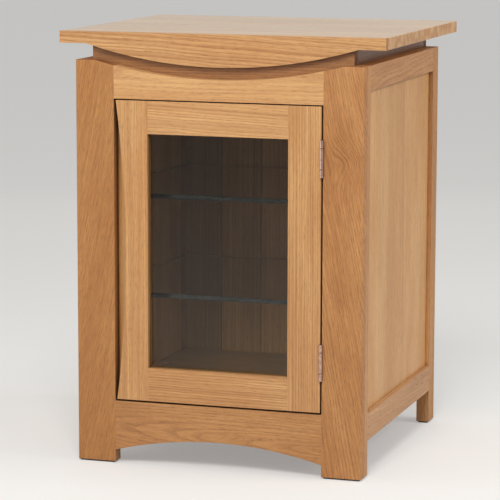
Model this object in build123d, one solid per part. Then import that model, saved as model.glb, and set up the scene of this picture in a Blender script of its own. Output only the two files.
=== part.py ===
from build123d import *
import os
from math import sqrt

# An oak media cabinet: a framed carcass on built-up corner legs, a raised top with a curved fascia,
# one glazed door hung at the right and two glass shelves.
# X runs to the right, Y to the back and Z up. The origin is on the floor, under the middle of the whole.
# All sizes are in millimetres.

# Carcass
body_width = 525.0
body_depth = 530.0
leg_top_height = 719.0
frame_thickness = 24.0
front_stile_width = 71.5
side_stile_depth = 19.0
rear_leg_depth = 40.0
corner_radius = 4.0
arris_radius = 1.2
cut_overrun = 5.0

# Feet
pad_thickness = 3.0
pad_inset = 3.0
pad_chamfer = 0.8

# Front rails
top_rail_height = 66.5
sill_height = 113.5
arch_foot_height = 24.0
arch_rise = 26.0

# Side rails and their panels
side_top_rail_height = 43.5
side_bottom_rail_height = 49.5
side_ground_clearance = 64.0
side_rail_bevel = 1.0
panel_recess = 8.0
panel_thickness = 16.0
tongue_thickness = 6.0
tongue_length = 8.0
groove_side_gap = 0.1
groove_end_gap = 1.0
panel_edge_gap = 0.5

# Tenons
tenon_thickness = 8.0
tenon_shoulder = 10.0
tenon_end_gap = 0.5
front_tenon_length = 25.0
side_tenon_length = 12.0
back_tenon_length = 13.0

# Back boards
back_board_count = 6
back_board_thickness = 9.0
back_board_setback = 9.0
back_groove_depth = 6.0
back_edge_gap = 0.5
board_gap = 0.3
board_tongue_thickness = 3.0
board_tongue_length = 4.0
board_tongue_gap = 0.1
board_chamfer = 1.5
cable_hole_radius = 28.0
cable_hole_rise = 70.0

# Floor of the inside
floor_thickness = 18.0
floor_edge_gap = 0.2
cleat_size = 18.0
cleat_end_gap = 12.0
cleat_screw_inset = 60.0

# Floating top
top_gap = 28.0
top_thickness = 21.0
top_side_overhang = 34.5
fascia_thickness = 11.0
fascia_arc_drop = 36.6
fascia_arc_inset = 49.0
arc_gap = 20.8
riser_thickness = 20.0
riser_screw_inset = 70.0
riser_side_screw_rise = 27.0
riser_front_screw_rise = 6.5
riser_end_screw_rises = (18.0, 54.0)
bracket_leg = 20.0
bracket_width = 18.0
bracket_thickness = 2.0
bracket_screw_offset = 12.0
bracket_inset = 110.0

# Door frame
door_gap = 3.0
door_top_gap = 2.2
door_thickness = 22.0
door_stile_width = 59.5
door_top_rail_height = 58.0
door_bottom_rail_height = 59.7
door_lip = 10.0
rebate_width = 9.0
door_tenon_thickness = 7.0
door_tenon_length = 25.0
door_tenon_shoulder = 7.0
door_arris_radius = 1.0

# Scooped finger pull
scoop_inset = 18.5
scoop_depth = 13.5

# Door glass and its beads
glass_thickness = 5.0
glass_edge_gap = 1.0
glass_bevel_width = 20.0
glass_bevel_drop = 2.0
bead_chamfer = 2.5
bead_pin_radius = 0.7
bead_pin_length = 16.0
bead_pin_inset = 70.0

# Butt hinges
hinge_height = 65.0
hinge_end_inset = 57.0
knuckle_radius = 3.5
knuckle_clearance = 0.3
outer_knuckle_height = 14.0
knuckle_chamfer = 0.5
hinge_pin_radius = 1.75
hinge_running_gap = 0.05
hinge_pin_chamfer = 0.4
leaf_thickness = 1.5
leaf_gap = 0.8
leaf_reach = 19.0
hinge_screw_end_inset = 9.0
hinge_screw_near_reach = 10.5
hinge_screw_far_reach = 14.5

# Magnetic catch, which is also the door stop
catch_drop = 40.0
catch_block_height = 40.0
catch_block_depth = 22.0
catch_block_grip = 38.0
catch_reach = 12.5
catch_block_margin = 8.0
catch_sleeve_radius = 5.5
catch_sleeve_length = 14.0
catch_flange_radius = 7.0
catch_flange_thickness = 0.7
catch_magnet_radius = 4.0
catch_magnet_length = 3.0
catch_working_gap = 0.3

# Glass shelves and their pins
shelf_thickness = 8.0
shelf_edge_gap = 0.5
shelf_front_setback = 36.0
shelf_back_gap = 8.0
shelf_corner_radius = 3.0
shelf_arris = 0.8
lower_shelf_height = 293.5
upper_shelf_height = 472.0
shelf_pin_inset = 55.0
shelf_pin_radius = 2.5
shelf_pin_depth = 8.5
shelf_pin_reach = 8.0
shelf_collar_radius = 4.0
shelf_collar_thickness = 1.2
shelf_sleeve_wall = 1.0
shelf_hole_pitch = 32.0
shelf_hole_gap = 1.0

# Countersunk screws: head radius, head height, shank radius, length, point length
wood_screw = (3.5, 2.4, 1.8, 34.0, 5.0)
bracket_screw = (2.9, 1.4, 1.6, 15.0, 3.5)
hinge_screw = (2.6, 1.2, 1.3, 14.0, 3.0)
strike_screw = (2.2, 0.9, 1.1, 10.0, 2.5)
recess_length_share = 0.55
recess_width_share = 0.16
recess_depth_share = 0.7

# Planes of the carcass
knuckle_reach = 2 * knuckle_radius + knuckle_clearance
front_y = (knuckle_reach - body_depth) / 2
rear_y = front_y + body_depth
frame_back_y = front_y + frame_thickness
side_stile_back_y = frame_back_y + side_stile_depth
rear_leg_y = rear_y - rear_leg_depth
rear_frame_y = rear_y - frame_thickness
outer_x = body_width / 2
inner_x = outer_x - frame_thickness
opening_x = outer_x - front_stile_width
opening_top = leg_top_height - top_rail_height
side_panel_top = leg_top_height - side_top_rail_height
side_panel_bottom = side_ground_clearance + side_bottom_rail_height
floor_underside = sill_height - floor_thickness

# Top and its concentric arcs
top_underside = leg_top_height + top_gap
top_height = top_underside + top_thickness
top_x = outer_x + top_side_overhang
fascia_y = frame_back_y - fascia_thickness
arc_reach = top_x - fascia_arc_inset
fascia_arc_radius = (arc_reach ** 2 + fascia_arc_drop ** 2) / (2 * fascia_arc_drop)
fascia_arc_low = top_underside - fascia_arc_drop
arc_centre_height = fascia_arc_low + fascia_arc_radius
rail_arc_radius = fascia_arc_radius + arc_gap
rail_arc_low = arc_centre_height - rail_arc_radius
riser_inner_x = inner_x - riser_thickness
riser_back_y = frame_back_y + riser_thickness
riser_rear_y = rear_y - riser_thickness

# Arch under the front
arch_radius = (opening_x ** 2 + arch_rise ** 2) / (2 * arch_rise)
arch_top = arch_foot_height + arch_rise
arch_centre_height = arch_top - arch_radius

# Panels, grooves and tenons
panel_outer_x = outer_x - panel_recess
panel_inner_x = panel_outer_x - panel_thickness
groove_depth = tongue_length + groove_end_gap
boards_rear_y = rear_y - back_board_setback
boards_front_y = boards_rear_y - back_board_thickness
boards_x = inner_x + back_groove_depth - back_edge_gap

# Door
door_x = opening_x - door_gap
door_bottom = sill_height + door_gap
door_top = opening_top - door_top_gap
door_back_y = front_y + door_thickness
sight_x = door_x - door_stile_width
sight_bottom = door_bottom + door_bottom_rail_height
sight_top = door_top - door_top_rail_height
lip_y = front_y + door_lip
glass_overlap = rebate_width - glass_edge_gap
glass_front_y = lip_y - glass_bevel_drop * (1 - glass_overlap / glass_bevel_width)
glass_back_y = glass_front_y + glass_thickness
hinge_x = opening_x - door_gap / 2
hinge_y = front_y - knuckle_radius - knuckle_clearance
hinge_heights = (door_bottom + hinge_end_inset, door_top - hinge_end_inset - hinge_height)
catch_height = door_top - catch_drop
catch_x = catch_reach - opening_x

# Shelves
shelf_x = panel_inner_x - shelf_collar_thickness - shelf_edge_gap
shelf_front_y = frame_back_y + shelf_front_setback
shelf_back_y = boards_front_y - shelf_back_gap
shelf_heights = (lower_shelf_height, upper_shelf_height)
shelf_pin_ys = (shelf_front_y + shelf_pin_inset, shelf_back_y - shelf_pin_inset)
shelf_pin_drop = shelf_pin_radius + shelf_sleeve_wall


def block(x, y, z):
    """Box between a low and a high limit along each axis"""
    box = Box(x[1] - x[0], y[1] - y[0], z[1] - z[0], align=(Align.MIN, Align.MIN, Align.MIN))
    return Pos(x[0], y[0], z[0]) * box


def rod(start, direction, radius, length):
    """Round bar from a point along a direction"""
    bar = Cylinder(radius, length, align=(Align.CENTER, Align.CENTER, Align.MIN))
    return Plane(origin=start, z_dir=direction).location * bar


def drum(centre_height, radius):
    """Round form that runs from front to back through the face frame"""
    start = (0, front_y - cut_overrun, centre_height)
    return rod(start, (0, 1, 0), radius, frame_thickness + 2 * cut_overrun)


def mirrored(part):
    """The same piece on the other side of the cabinet"""
    return mirror(part, about=Plane.YZ)


def both_sides(part):
    """A piece and its mirror image"""
    return [mirrored(part), part]


def shared_edge(part, first_axis, first_end, second_axis, second_end):
    """The edge where two outer faces meet, each face given by an axis and its end, 0 or -1"""
    face = part.faces().sort_by(first_axis)[first_end]
    return face.edges().sort_by(second_axis)[second_end]


def less(part, cutters):
    """The piece with every cutter taken out of it"""
    for cutter in cutters:
        part = part - cutter
    return part


def slotted(x, y, z, along, centre, width):
    """Limits of a tenon or groove centred on a frame member's thickness, which lies along one axis"""
    limits = {"x": x, "y": y, "z": z}
    limits[along] = (centre - width / 2, centre + width / 2)
    return limits["x"], limits["y"], limits["z"]


def screw_body(size):
    """Countersunk screw without its recess, head up at the origin"""
    head_radius, head_height, shank_radius, length, point = size
    shoulder = (shank_radius, -head_height)
    taper = (shank_radius, point - length)
    outline = Polyline((0, 0), (head_radius, 0), shoulder, taper, (0, -length), close=True)
    return revolve(Plane.XZ * make_face(outline), Axis.Z)


def screw(size):
    """Countersunk screw with a cross recess"""
    slot_length = 2 * size[0] * recess_length_share
    slot_width = 2 * size[0] * recess_width_share
    slot_depth = 2 * size[1] * recess_depth_share
    slots = Box(slot_length, slot_width, slot_depth) + Box(slot_width, slot_length, slot_depth)
    return screw_body(size) - slots


def placed(part, position, outward):
    """A fastener moved so that its head lies at a position and faces outward"""
    return Plane(origin=position, z_dir=outward).location * part


def screws_and_holes(size, places):
    """Screws for a list of positions and outward directions, and the holes that they fill"""
    screws = [placed(screw(size), position, outward) for position, outward in places]
    holes = [placed(screw_body(size), position, outward) for position, outward in places]
    return screws, holes


def cleat_screw_places():
    """Heads of the screws that hold the floor cleats to the side rails"""
    run = rear_leg_y - side_stile_back_y - 2 * cleat_screw_inset
    ys = [side_stile_back_y + cleat_screw_inset + share * run for share in (0, 0.5, 1)]
    height = floor_underside - cleat_size / 2
    return [((side * (inner_x - cleat_size), y, height), (-side, 0, 0)) for side in (-1, 1) for y in ys]


def riser_screw_places():
    """Heads of the screws that hold the risers to the carcass and the rear riser to the side ones"""
    run = rear_leg_y - side_stile_back_y - 2 * riser_screw_inset
    ys = [side_stile_back_y + riser_screw_inset + share * run for share in (0, 0.5, 1)]
    side_height = side_panel_top + riser_side_screw_rise
    places = [((side * riser_inner_x, y, side_height), (-side, 0, 0)) for side in (-1, 1) for y in ys]
    front_height = side_panel_top + riser_front_screw_rise
    xs = [share * (opening_x - riser_screw_inset) for share in (-1, 0, 1)]
    places += [((x, riser_back_y, front_height), (0, 1, 0)) for x in xs]
    end_x = inner_x - riser_thickness / 2
    end_heights = [side_panel_top + rise for rise in riser_end_screw_rises]
    places += [((side * end_x, rear_y, height), (0, 1, 0)) for side in (-1, 1) for height in end_heights]
    return places


def hinge_screw_places():
    """Heads of the hinge screws on the frame leaves, then on the door leaves"""
    frame_places = []
    door_places = []
    for low in hinge_heights:
        ends = (low + hinge_screw_end_inset, low + hinge_height - hinge_screw_end_inset)
        spots = [(hinge_screw_near_reach, height) for height in ends]
        spots.append((hinge_screw_far_reach, low + hinge_height / 2))
        for reach, height in spots:
            frame_places.append(((hinge_x + leaf_gap / 2, hinge_y + reach, height), (-1, 0, 0)))
            door_places.append(((hinge_x - leaf_gap / 2, hinge_y + reach, height), (1, 0, 0)))
    return frame_places, door_places


def shelf_pin_points():
    """Where the shelf pins meet the inside of the right panel"""
    return [(panel_inner_x, y, height - shelf_pin_drop) for height in shelf_heights for y in shelf_pin_ys]


def leaf_limits(side):
    """Span of a hinge leaf across the gap: side 1 is the frame leaf and -1 the door leaf"""
    near = hinge_x + side * leaf_gap / 2
    far = near + side * leaf_thickness
    return min(near, far), max(near, far)


def leaf_recesses(side):
    """Shallow recesses for the leaves in the frame or in the door"""
    reach = (hinge_y, hinge_y + leaf_reach)
    return [block(leaf_limits(side), reach, (low, low + hinge_height)) for low in hinge_heights]


def front_rail_tenons(low, high):
    """Tenons at both ends of a front rail"""
    centre = front_y + frame_thickness / 2
    x = (opening_x, opening_x + front_tenon_length)
    return both_sides(block(*slotted(x, None, (low, high), "y", centre, tenon_thickness)))


def front_mortises(low, high):
    """Mortises for the tenons of a front rail"""
    centre = front_y + frame_thickness / 2
    x = (opening_x, opening_x + front_tenon_length + tenon_end_gap)
    return both_sides(block(*slotted(x, None, (low, high), "y", centre, tenon_thickness)))


top_rail_tenon = (opening_top + tenon_shoulder, rail_arc_low)
bottom_rail_tenon = (arch_top, sill_height - tenon_shoulder)
side_top_tenon = (side_panel_top + groove_depth + tenon_end_gap, leg_top_height - tenon_shoulder)
side_bottom_tenon = (side_ground_clearance + tenon_shoulder, side_panel_bottom - groove_depth - tenon_end_gap)
back_tenon = (side_ground_clearance + tenon_shoulder, sill_height - back_groove_depth - tenon_shoulder)


def front_frame():
    """Wide front stiles and the two front rails between them"""
    height = (pad_thickness, leg_top_height)
    stile = block((opening_x, outer_x), (front_y, frame_back_y), height)
    stile = fillet(shared_edge(stile, Axis.X, -1, Axis.Y, 0), corner_radius)
    arc = drum(arc_centre_height, rail_arc_radius)
    stile = less(stile, [arc] + front_mortises(*top_rail_tenon) + front_mortises(*bottom_rail_tenon))
    frame_screws, frame_holes = screws_and_holes(hinge_screw, hinge_screw_places()[0])
    right_stile = less(stile, leaf_recesses(1) + frame_holes)

    top_rail = block((-opening_x, opening_x), (front_y, frame_back_y), (opening_top, leg_top_height)) - arc
    for tenon in front_rail_tenons(*top_rail_tenon):
        top_rail = top_rail + tenon
    top_rail = less(top_rail, screws_and_holes(wood_screw, riser_screw_places())[1])

    bottom_rail = block((-opening_x, opening_x), (front_y, frame_back_y), (arch_foot_height, sill_height))
    bottom_rail = bottom_rail - drum(arch_centre_height, arch_radius)
    for tenon in front_rail_tenons(*bottom_rail_tenon):
        bottom_rail = bottom_rail + tenon
    return {
        "front_stile_left": mirrored(stile),
        "front_stile_right": right_stile,
        "front_top_rail": top_rail,
        "front_bottom_rail": bottom_rail,
        "frame_hinge_screws": Compound(frame_screws),
    }


def side_frame():
    """Stile, rear leg, rails and panel of the right side, and their mirror images"""
    thickness = (inner_x, outer_x)
    middle_x = (inner_x + outer_x) / 2
    height = (pad_thickness, leg_top_height)
    run = (side_stile_back_y, rear_leg_y)
    tongue_x = (panel_outer_x - tongue_thickness, panel_outer_x)
    groove_x = (tongue_x[0] - groove_side_gap, tongue_x[1] + groove_side_gap)
    groove_z = (side_panel_bottom - groove_depth, side_panel_top + groove_depth)
    groove_run = (run[0] - groove_depth, run[1] + groove_depth)
    groove = block(groove_x, groove_run, groove_z)

    mortise_run = (run[0] - side_tenon_length - tenon_end_gap, run[1] + side_tenon_length + tenon_end_gap)
    tenon_run = (run[0] - side_tenon_length, run[1] + side_tenon_length)
    spans = (side_top_tenon, side_bottom_tenon)
    mortises = [block(*slotted(None, mortise_run, span, "x", middle_x, tenon_thickness)) for span in spans]
    tenons = [block(*slotted(None, tenon_run, span, "x", middle_x, tenon_thickness)) for span in spans]

    stile = less(block(thickness, (frame_back_y, run[0]), height), [groove] + mortises)
    rear_leg = block(thickness, (run[1], rear_y), height)
    rear_leg = fillet(shared_edge(rear_leg, Axis.X, -1, Axis.Y, -1), arris_radius)
    rear_leg = less(rear_leg, [groove, boards_groove(), back_rail_tenon(tenon_end_gap)] + mortises)

    cleat_holes = screws_and_holes(wood_screw, cleat_screw_places())[1]
    riser_holes = screws_and_holes(wood_screw, riser_screw_places())[1]
    top_rail = block(thickness, run, (side_panel_top, leg_top_height)) + tenons[0]
    top_rail = less(top_rail, [groove] + riser_holes)
    bottom_rail = block(thickness, run, (side_ground_clearance, side_panel_bottom))
    outer_face = bottom_rail.faces().sort_by(Axis.X)[-1]
    bevel_edge = outer_face.edges().sort_by(Axis.Z)[-1]
    bevel_reach = panel_recess - groove_side_gap
    bottom_rail = chamfer(bevel_edge, side_rail_bevel, length2=bevel_reach, reference=outer_face)
    bottom_rail = less(bottom_rail + tenons[1], [groove] + cleat_holes)

    field_y = (run[0] + panel_edge_gap, run[1] - panel_edge_gap)
    field_z = (side_panel_bottom + panel_edge_gap, side_panel_top - panel_edge_gap)
    tongue_y = (run[0] - tongue_length, run[1] + tongue_length)
    tongue_z = (side_panel_bottom - tongue_length, side_panel_top + tongue_length)
    panel = block((panel_inner_x, panel_outer_x), field_y, field_z) + block(tongue_x, tongue_y, tongue_z)
    panel = less(panel, shelf_holes())

    pieces = {}
    for name, part in (
        ("side_stile", stile),
        ("rear_leg", rear_leg),
        ("side_top_rail", top_rail),
        ("side_bottom_rail", bottom_rail),
        ("side_panel", panel),
    ):
        pieces[name + "_right"] = part
        pieces[name + "_left"] = mirrored(part)
    return pieces


def shelf_holes():
    """Rows of holes for the shelf pins in the right panel"""
    holes = []
    for x, y, z in shelf_pin_points():
        for step in (-1, 0, 1):
            start = (x, y, z + step * shelf_hole_pitch)
            holes.append(rod(start, (1, 0, 0), shelf_pin_radius, shelf_pin_depth + shelf_hole_gap))
    return holes


def boards_groove():
    """Groove that holds the back boards, in the legs, the rail and the riser"""
    x = inner_x + back_groove_depth
    z = (sill_height - back_groove_depth, side_panel_top + back_groove_depth)
    return block((-x, x), (boards_front_y, boards_rear_y), z)


def back_rail_tenon(end_gap):
    """Tenon at the right end of the lower back rail, or its mortise with a gap at the end"""
    x = (inner_x, inner_x + back_tenon_length + end_gap)
    return block(*slotted(x, None, back_tenon, "y", rear_y - frame_thickness / 2, tenon_thickness))


def back_rail():
    """Lower back rail between the rear legs"""
    rail = block((-inner_x, inner_x), (rear_frame_y, rear_y), (side_ground_clearance, sill_height))
    for tenon in both_sides(back_rail_tenon(0)):
        rail = rail + tenon
    return {"back_bottom_rail": rail - boards_groove()}


def cable_holes():
    """One round cable hole low down behind each compartment"""
    floors = (sill_height,) + tuple(height + shelf_thickness for height in shelf_heights)
    start_y = boards_front_y - cut_overrun
    length = back_board_thickness + 2 * cut_overrun
    heights = [floor + cable_hole_rise for floor in floors]
    return [rod((0, start_y, height), (0, 1, 0), cable_hole_radius, length) for height in heights]


def back_boards():
    """Upright tongued boards with chamfered joints"""
    pitch = 2 * boards_x / back_board_count
    z_end = back_groove_depth - back_edge_gap
    z = (sill_height - z_end, side_panel_top + z_end)
    middle_y = (boards_front_y + boards_rear_y) / 2
    boards = []
    for index in range(back_board_count):
        left = -boards_x + index * pitch
        right = left + pitch
        first = index == 0
        last = index == back_board_count - 1
        body = block((left, right if last else right - board_gap), (boards_front_y, boards_rear_y), z)
        joint_ends = ([] if first else [0]) + ([] if last else [-1])
        joints = [shared_edge(body, Axis.Y, 0, Axis.X, end) for end in joint_ends]
        body = chamfer(joints, board_chamfer)
        if not last:
            tongue_x = (right - board_gap - board_chamfer, right + board_tongue_length)
            body = body + block(*slotted(tongue_x, None, z, "y", middle_y, board_tongue_thickness))
        if not first:
            groove_x = (left - cut_overrun, left + board_tongue_length + board_gap)
            groove_width = board_tongue_thickness + 2 * board_tongue_gap
            body = body - block(*slotted(groove_x, None, z, "y", middle_y, groove_width))
        boards.append(less(body, cable_holes()))
    return {"back_boards": Compound(boards)}


def inside_floor():
    """Floor board, and the cleats that carry it"""
    x = inner_x - floor_edge_gap
    y = (frame_back_y + floor_edge_gap, rear_frame_y - floor_edge_gap)
    board = block((-x, x), y, (floor_underside, sill_height))
    cleat_y = (side_stile_back_y + cleat_end_gap, rear_leg_y - cleat_end_gap)
    cleat = block((inner_x - cleat_size, inner_x), cleat_y, (floor_underside - cleat_size, floor_underside))
    screws, holes = screws_and_holes(wood_screw, cleat_screw_places())
    cleat = less(cleat, holes)
    return {
        "bottom_board": board,
        "floor_cleat_left": mirrored(cleat),
        "floor_cleat_right": cleat,
        "cleat_screws": Compound(screws),
    }


def foot_pads():
    """Thin pads under the four legs"""
    pads = []
    for x_low, y_low, y_high in ((opening_x, front_y, frame_back_y), (inner_x, rear_leg_y, rear_y)):
        x = (x_low + pad_inset, outer_x - pad_inset)
        pad = block(x, (y_low + pad_inset, y_high - pad_inset), (0, pad_thickness))
        pads.append(chamfer(pad.faces().sort_by(Axis.Z)[0].edges(), pad_chamfer))
    return {
        "foot_pads_front": Compound(both_sides(pads[0])),
        "foot_pads_rear": Compound(both_sides(pads[1])),
    }


def bracket():
    """Angle bracket in the corner under the top, its upright leg against the plane X = 0"""
    y = (-bracket_width / 2, bracket_width / 2)
    upright = block((0, bracket_thickness), y, (-bracket_leg, 0))
    flat = block((0, bracket_leg), y, (-bracket_thickness, 0))
    return upright + flat


def top_brackets():
    """Brackets and screws that hold the top to the risers"""
    spots = [(side * riser_inner_x, y, 90 + 90 * side)
             for side in (-1, 1)
             for y in (riser_back_y + bracket_inset, riser_rear_y - bracket_inset)]
    spots += [(side * bracket_inset, y, turn)
              for side in (-1, 1)
              for y, turn in ((riser_back_y, 90), (riser_rear_y, -90))]
    upright_screw = placed(screw(bracket_screw), (bracket_thickness, 0, -bracket_screw_offset), (1, 0, 0))
    upright_hole = placed(screw_body(bracket_screw), (bracket_thickness, 0, -bracket_screw_offset), (1, 0, 0))
    flat_screw = placed(screw(bracket_screw), (bracket_screw_offset, 0, -bracket_thickness), (0, 0, -1))
    flat_hole = placed(screw_body(bracket_screw), (bracket_screw_offset, 0, -bracket_thickness), (0, 0, -1))
    drilled = bracket() - upright_hole - flat_hole
    brackets = []
    screws = []
    holes = []
    for x, y, turn in spots:
        place = Pos(x, y, top_underside) * Rot(Z=turn)
        brackets.append(place * drilled)
        screws += [place * upright_screw, place * flat_screw]
        holes += [place * upright_hole, place * flat_hole]
    return brackets, screws, holes


def floating_top():
    """Risers, top board and curved fascia"""
    brackets, bracket_screws, bracket_holes = top_brackets()
    riser_screws, riser_holes = screws_and_holes(wood_screw, riser_screw_places())
    holes = riser_holes + bracket_holes
    height = (side_panel_top, top_underside)
    front = block((-inner_x, inner_x), (frame_back_y, riser_back_y), height)
    rear = block((-inner_x, inner_x), (riser_rear_y, rear_y), height)
    side = block((riser_inner_x, inner_x), (riser_back_y, riser_rear_y), height)

    board = block((-top_x, top_x), (frame_back_y, rear_y), (top_underside, top_height))
    rims = [shared_edge(board, Axis.Z, end, axis, side_end)
            for end in (0, -1)
            for axis, side_end in ((Axis.X, 0), (Axis.X, -1), (Axis.Y, -1))]
    board = fillet(rims, arris_radius)

    low = (-top_x, top_underside)
    high = (top_x, top_underside)
    arc_left = (-arc_reach, top_underside)
    arc_right = (arc_reach, top_underside)
    outline = Line(low, arc_left)
    outline += ThreePointArc(arc_left, (0, fascia_arc_low), arc_right)
    outline += Polyline(arc_right, high, (top_x, top_height), (-top_x, top_height), low)
    fascia = extrude(Plane.XZ * make_face(outline), -fascia_thickness)
    fascia = Pos(0, fascia_y, 0) * fascia
    fascia = fillet(shared_edge(fascia, Axis.Y, 0, Axis.Z, -1), arris_radius)
    return {
        "riser_front": less(front, holes),
        "riser_left": less(mirrored(side), holes),
        "riser_right": less(side, holes),
        "riser_rear": less(rear, holes) - boards_groove(),
        "riser_screws": Compound(riser_screws),
        "top_board": less(board, bracket_holes),
        "top_fascia": fascia,
        "top_brackets": Compound(brackets),
        "bracket_screws": Compound(bracket_screws),
    }


def scoop():
    """Wedge that cuts the finger pull, with a long arc on the door's front and a straight line on its edge"""
    low = door_bottom - cut_overrun
    high = door_top + cut_overrun
    outer = -door_x - scoop_inset
    sections = []
    for depth in (-cut_overrun, scoop_depth + cut_overrun):
        reach = scoop_inset * (1 - depth / scoop_depth)
        outline = ThreePointArc((-door_x, low), (reach - door_x, (low + high) / 2), (-door_x, high))
        outline += Polyline((-door_x, high), (outer, high), (outer, low), (-door_x, low))
        section = Plane(origin=(0, front_y + depth, 0), x_dir=(1, 0, 0), z_dir=(0, -1, 0))
        sections.append(section * make_face(outline))
    return loft(sections, ruled=True)


def door_tenons(low, high, end_gap):
    """Tenons of a door rail, or their mortises with a gap at the end"""
    x = (sight_x, sight_x + door_tenon_length + end_gap)
    centre = front_y + door_thickness / 2
    return both_sides(block(*slotted(x, None, (low, high), "y", centre, door_tenon_thickness)))


def door_frame():
    """Stiles and rails of the door, with the rebate for the glass"""
    depth = (front_y, door_back_y)
    rebate_z = (sight_bottom - rebate_width, sight_top + rebate_width)
    rebate_x = sight_x + rebate_width
    rebate = block((-rebate_x, rebate_x), (lip_y, door_back_y), rebate_z)
    top_tenon = (rebate_z[1] + door_tenon_shoulder, door_top - door_tenon_shoulder)
    bottom_tenon = (door_bottom + door_tenon_shoulder, rebate_z[0] - door_tenon_shoulder)
    mortises = door_tenons(*top_tenon, tenon_end_gap) + door_tenons(*bottom_tenon, tenon_end_gap)

    stile = block((sight_x, door_x), depth, (door_bottom, door_top))
    outer_ends = ((Axis.X, -1), (Axis.Z, 0), (Axis.Z, -1))
    rims = [shared_edge(stile, Axis.Y, 0, axis, end) for axis, end in outer_ends]
    stile = less(fillet(rims, door_arris_radius), [rebate] + mortises)
    screws, holes = screws_and_holes(hinge_screw, hinge_screw_places()[1])
    hinge_stile = less(stile, leaf_recesses(-1) + holes)
    pull_block = block((sight_x, door_x), depth, (door_bottom, door_top))
    pull_rims = [shared_edge(pull_block, Axis.Y, 0, Axis.Z, end) for end in (0, -1)]
    pull_stile = mirrored(less(fillet(pull_rims, door_arris_radius), [rebate] + mortises)) - scoop()

    pieces = {"door_hinge_stile": hinge_stile, "door_hinge_screws": Compound(screws)}
    for name, z, outer_end, tenon in (
        ("door_top_rail", (sight_top, door_top), -1, top_tenon),
        ("door_bottom_rail", (door_bottom, sight_bottom), 0, bottom_tenon),
    ):
        rail = block((-sight_x, sight_x), depth, z)
        rail = fillet(shared_edge(rail, Axis.Y, 0, Axis.Z, outer_end), door_arris_radius) - rebate
        for part in door_tenons(*tenon, 0):
            rail = rail + part
        pieces[name] = rail
    pieces["door_pull_stile"] = pull_stile
    return pieces


def door_glass():
    """Pane with a wide bevel around its front"""
    half_x = sight_x + glass_overlap
    half_z = (sight_top - sight_bottom) / 2 + glass_overlap
    middle_z = (sight_top + sight_bottom) / 2
    bevel_y = glass_front_y + glass_bevel_drop
    back = block((-half_x, half_x), (bevel_y, glass_back_y), (middle_z - half_z, middle_z + half_z))
    rim = Plane(origin=(0, bevel_y, middle_z), x_dir=(1, 0, 0), z_dir=(0, -1, 0))
    crown = Plane(origin=(0, glass_front_y, middle_z), x_dir=(1, 0, 0), z_dir=(0, -1, 0))
    inner_x_half = half_x - glass_bevel_width
    inner_z_half = half_z - glass_bevel_width
    bevel_base = rim * Rectangle(2 * half_x, 2 * half_z)
    bevel_crown = crown * Rectangle(2 * inner_x_half, 2 * inner_z_half)
    return {"door_glass": back + loft([bevel_base, bevel_crown])}


def bead(half_length):
    """Mitred glazing bead along X, its outer side at Z = 0 and its inner side above"""
    depth = door_back_y - glass_back_y
    slope = ((depth, rebate_width - bead_chamfer), (depth - bead_chamfer, rebate_width))
    profile = Polyline((0, 0), (depth, 0), *slope, (0, rebate_width), close=True)
    start = Plane(origin=(-half_length, glass_back_y, 0), x_dir=(0, 1, 0), z_dir=(1, 0, 0))
    strip = extrude(start * make_face(profile), 2 * half_length)
    inner = half_length - rebate_width
    inner_corners = ((inner, rebate_width), (-inner, rebate_width))
    mitre = Polyline((-half_length, 0), (half_length, 0), *inner_corners, close=True)
    window = Plane(origin=(0, door_back_y, 0), x_dir=(1, 0, 0), z_dir=(0, -1, 0))
    return strip & extrude(window * make_face(mitre), depth)


def bead_places():
    """Name, half length and place of each glazing bead"""
    half_x = sight_x + rebate_width
    half_z = (sight_top - sight_bottom) / 2 + rebate_width
    middle = Pos(0, 0, (sight_top + sight_bottom) / 2)
    return (
        ("bottom", half_x, middle * Pos(0, 0, -half_z)),
        ("top", half_x, middle * Rot(Y=180) * Pos(0, 0, -half_z)),
        ("left", half_z, middle * Rot(Y=90) * Pos(0, 0, -half_x)),
        ("right", half_z, middle * Rot(Y=-90) * Pos(0, 0, -half_x)),
    )


def bead_pins():
    """Two pins through each bead, driven outward into the door frame"""
    y = (glass_back_y + door_back_y) / 2
    pins = []
    for _, half_length, place in bead_places():
        for x in (bead_pin_inset - half_length, half_length - bead_pin_inset):
            pins.append(place * rod((x, y, rebate_width), (0, 0, -1), bead_pin_radius, bead_pin_length))
    return pins


def glazing_beads():
    """Four beads that hold the glass from behind"""
    pins = bead_pins()
    pieces = {"bead_pins": Compound(pins)}
    for name, half_length, place in bead_places():
        pieces["glazing_bead_" + name] = less(place * bead(half_length), pins)
    return pieces


def hinge(low):
    """Frame leaf, door leaf and pin of one butt hinge"""
    high = low + hinge_height
    frame_ends = ((low, low + outer_knuckle_height), (high - outer_knuckle_height, high))
    door_span = (frame_ends[0][1] + knuckle_clearance, frame_ends[1][0] - knuckle_clearance)
    swept_radius = knuckle_radius + knuckle_clearance
    reach = (hinge_y, hinge_y + leaf_reach)

    def tube(span, radius):
        return rod((hinge_x, hinge_y, span[0]), (0, 0, 1), radius, span[1] - span[0])

    def knuckle(span):
        body = tube(span, knuckle_radius)
        return chamfer(body.edges().filter_by(GeomType.CIRCLE), knuckle_chamfer)

    gap_span = (frame_ends[0][1], frame_ends[1][0])
    frame_leaf = block(leaf_limits(1), reach, (low, high)) - tube(gap_span, swept_radius)
    for span in frame_ends:
        frame_leaf = frame_leaf + knuckle(span)
    frame_leaf = frame_leaf - tube((low, high), hinge_pin_radius)

    door_leaf = block(leaf_limits(-1), reach, (low, high))
    for span in ((low, door_span[0]), (door_span[1], high)):
        door_leaf = door_leaf - tube(span, swept_radius)
    door_leaf = door_leaf + knuckle(door_span)
    door_leaf = door_leaf - tube((low, high), hinge_pin_radius + hinge_running_gap)

    pin = tube((low, high), hinge_pin_radius)
    pin = chamfer(pin.edges().filter_by(GeomType.CIRCLE), hinge_pin_chamfer)
    return frame_leaf, door_leaf, pin


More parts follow.
